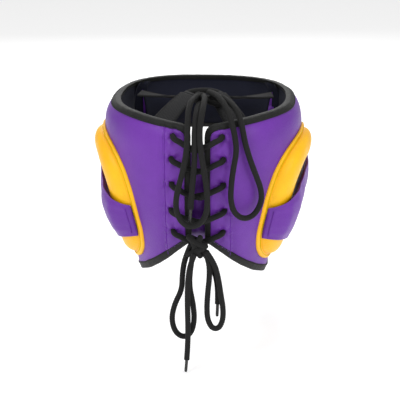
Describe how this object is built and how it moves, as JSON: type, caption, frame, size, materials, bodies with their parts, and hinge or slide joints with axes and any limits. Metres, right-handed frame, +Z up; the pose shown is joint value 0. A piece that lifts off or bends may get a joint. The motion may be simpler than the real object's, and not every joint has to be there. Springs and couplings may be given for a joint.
{
  "type": "boxing headgear",
  "caption": "Padded boxing headgear with ear guards, cheek wings, laced back, lace-up crown straps and a chin strap.",
  "frame": {"origin": "middle of the head cavity", "axes": "+Z up, the wearer faces -Y, +X is the wearer's left"},
  "size_m": [0.2292, 0.2312, 0.2795],
  "materials": {
    "purple_leather": "satin",
    "yellow_leather": "satin",
    "black_leather": "satin",
    "lining_cloth": "matte",
    "foam": "matte",
    "black_webbing": "matte",
    "black_lace": "matte",
    "hook_and_loop": "matte",
    "ring_steel": "polished",
    "black_plastic": "gloss"
  },
  "bodies": {
    "forehead": {"forehead_cover": "purple_leather", "forehead_foam": "foam", "forehead_lining": "lining_cloth", "forehead_rim_binding": "black_leather", "brow_binding": "black_leather", "tongue": "purple_leather", "nape_knot": "black_lace", "crown_knot": "black_lace", "crown_tie": "black_lace", "bow_loop_left": "black_lace", "bow_loop_right": "black_lace", "lace_end_left": "black_lace", "lace_end_right": "black_lace", "aglets": "black_plastic", "crown_loop_short": "black_lace", "crown_lace_end": "black_lace"},
    "left_side": {"side_cover_left": "purple_leather", "side_foam_left": "foam", "side_lining_left": "lining_cloth", "rim_binding_left": "black_leather", "cheek_binding_left": "black_leather", "hem_binding_left": "black_leather", "ear_welt_left": "yellow_leather", "ear_ring_cover_left": "yellow_leather", "ear_ring_foam_left": "foam", "ear_hole_wall_left": "yellow_leather", "cheek_cover_left": "purple_leather", "cheek_foam_left": "foam", "cheek_wing_left": "purple_leather", "lacing_facing_left": "purple_leather", "crown_front_strap_left": "black_webbing", "crown_rear_strap_left": "black_webbing", "back_lace_left": "black_lace", "chin_ring_left": "ring_steel", "chin_tab_left": "black_leather"},
    "right_side": {"side_cover_right": "purple_leather", "side_foam_right": "foam", "side_lining_right": "lining_cloth", "rim_binding_right": "black_leather", "cheek_binding_right": "black_leather", "hem_binding_right": "black_leather", "ear_welt_right": "yellow_leather", "ear_ring_cover_right": "yellow_leather", "ear_ring_foam_right": "foam", "ear_hole_wall_right": "yellow_leather", "cheek_cover_right": "purple_leather", "cheek_foam_right": "foam", "cheek_wing_right": "purple_leather", "lacing_facing_right": "purple_leather", "crown_front_strap_right": "black_webbing", "crown_rear_strap_right": "black_webbing", "back_lace_right": "black_lace", "chin_ring_right": "ring_steel", "chin_tab_right": "black_leather", "crown_loop_long": "black_lace"},
    "left_chin_strap": {"chin_strap_left": "black_webbing", "chin_hook_pad": "hook_and_loop"},
    "right_chin_strap": {"chin_strap_right": "black_webbing", "chin_loop_pad": "hook_and_loop"}
  },
  "joints": [
    {"name": "left_splay", "type": "hinge", "parent": "forehead", "child": "left_side", "pos_m": [0.088, -0.0722, 0], "axis": [0, 0, -1], "range_deg": [0, 4], "deforming": ["back_lace_left"]},
    {"name": "right_splay", "type": "hinge", "parent": "forehead", "child": "right_side", "pos_m": [-0.088, -0.0722, 0], "axis": [0, 0, 1], "range_deg": [0, 4], "deforming": ["back_lace_right", "crown_loop_long"]},
    {"name": "left_chin_hinge", "type": "hinge", "parent": "left_side", "child": "left_chin_strap", "pos_m": [0.042, -0.027, -0.0935], "axis": [0, -1, 0], "range_deg": [0, 100]},
    {"name": "right_chin_hinge", "type": "hinge", "parent": "right_side", "child": "right_chin_strap", "pos_m": [-0.042, -0.027, -0.0987], "axis": [0, 1, 0], "range_deg": [0, 100]}
  ]
}
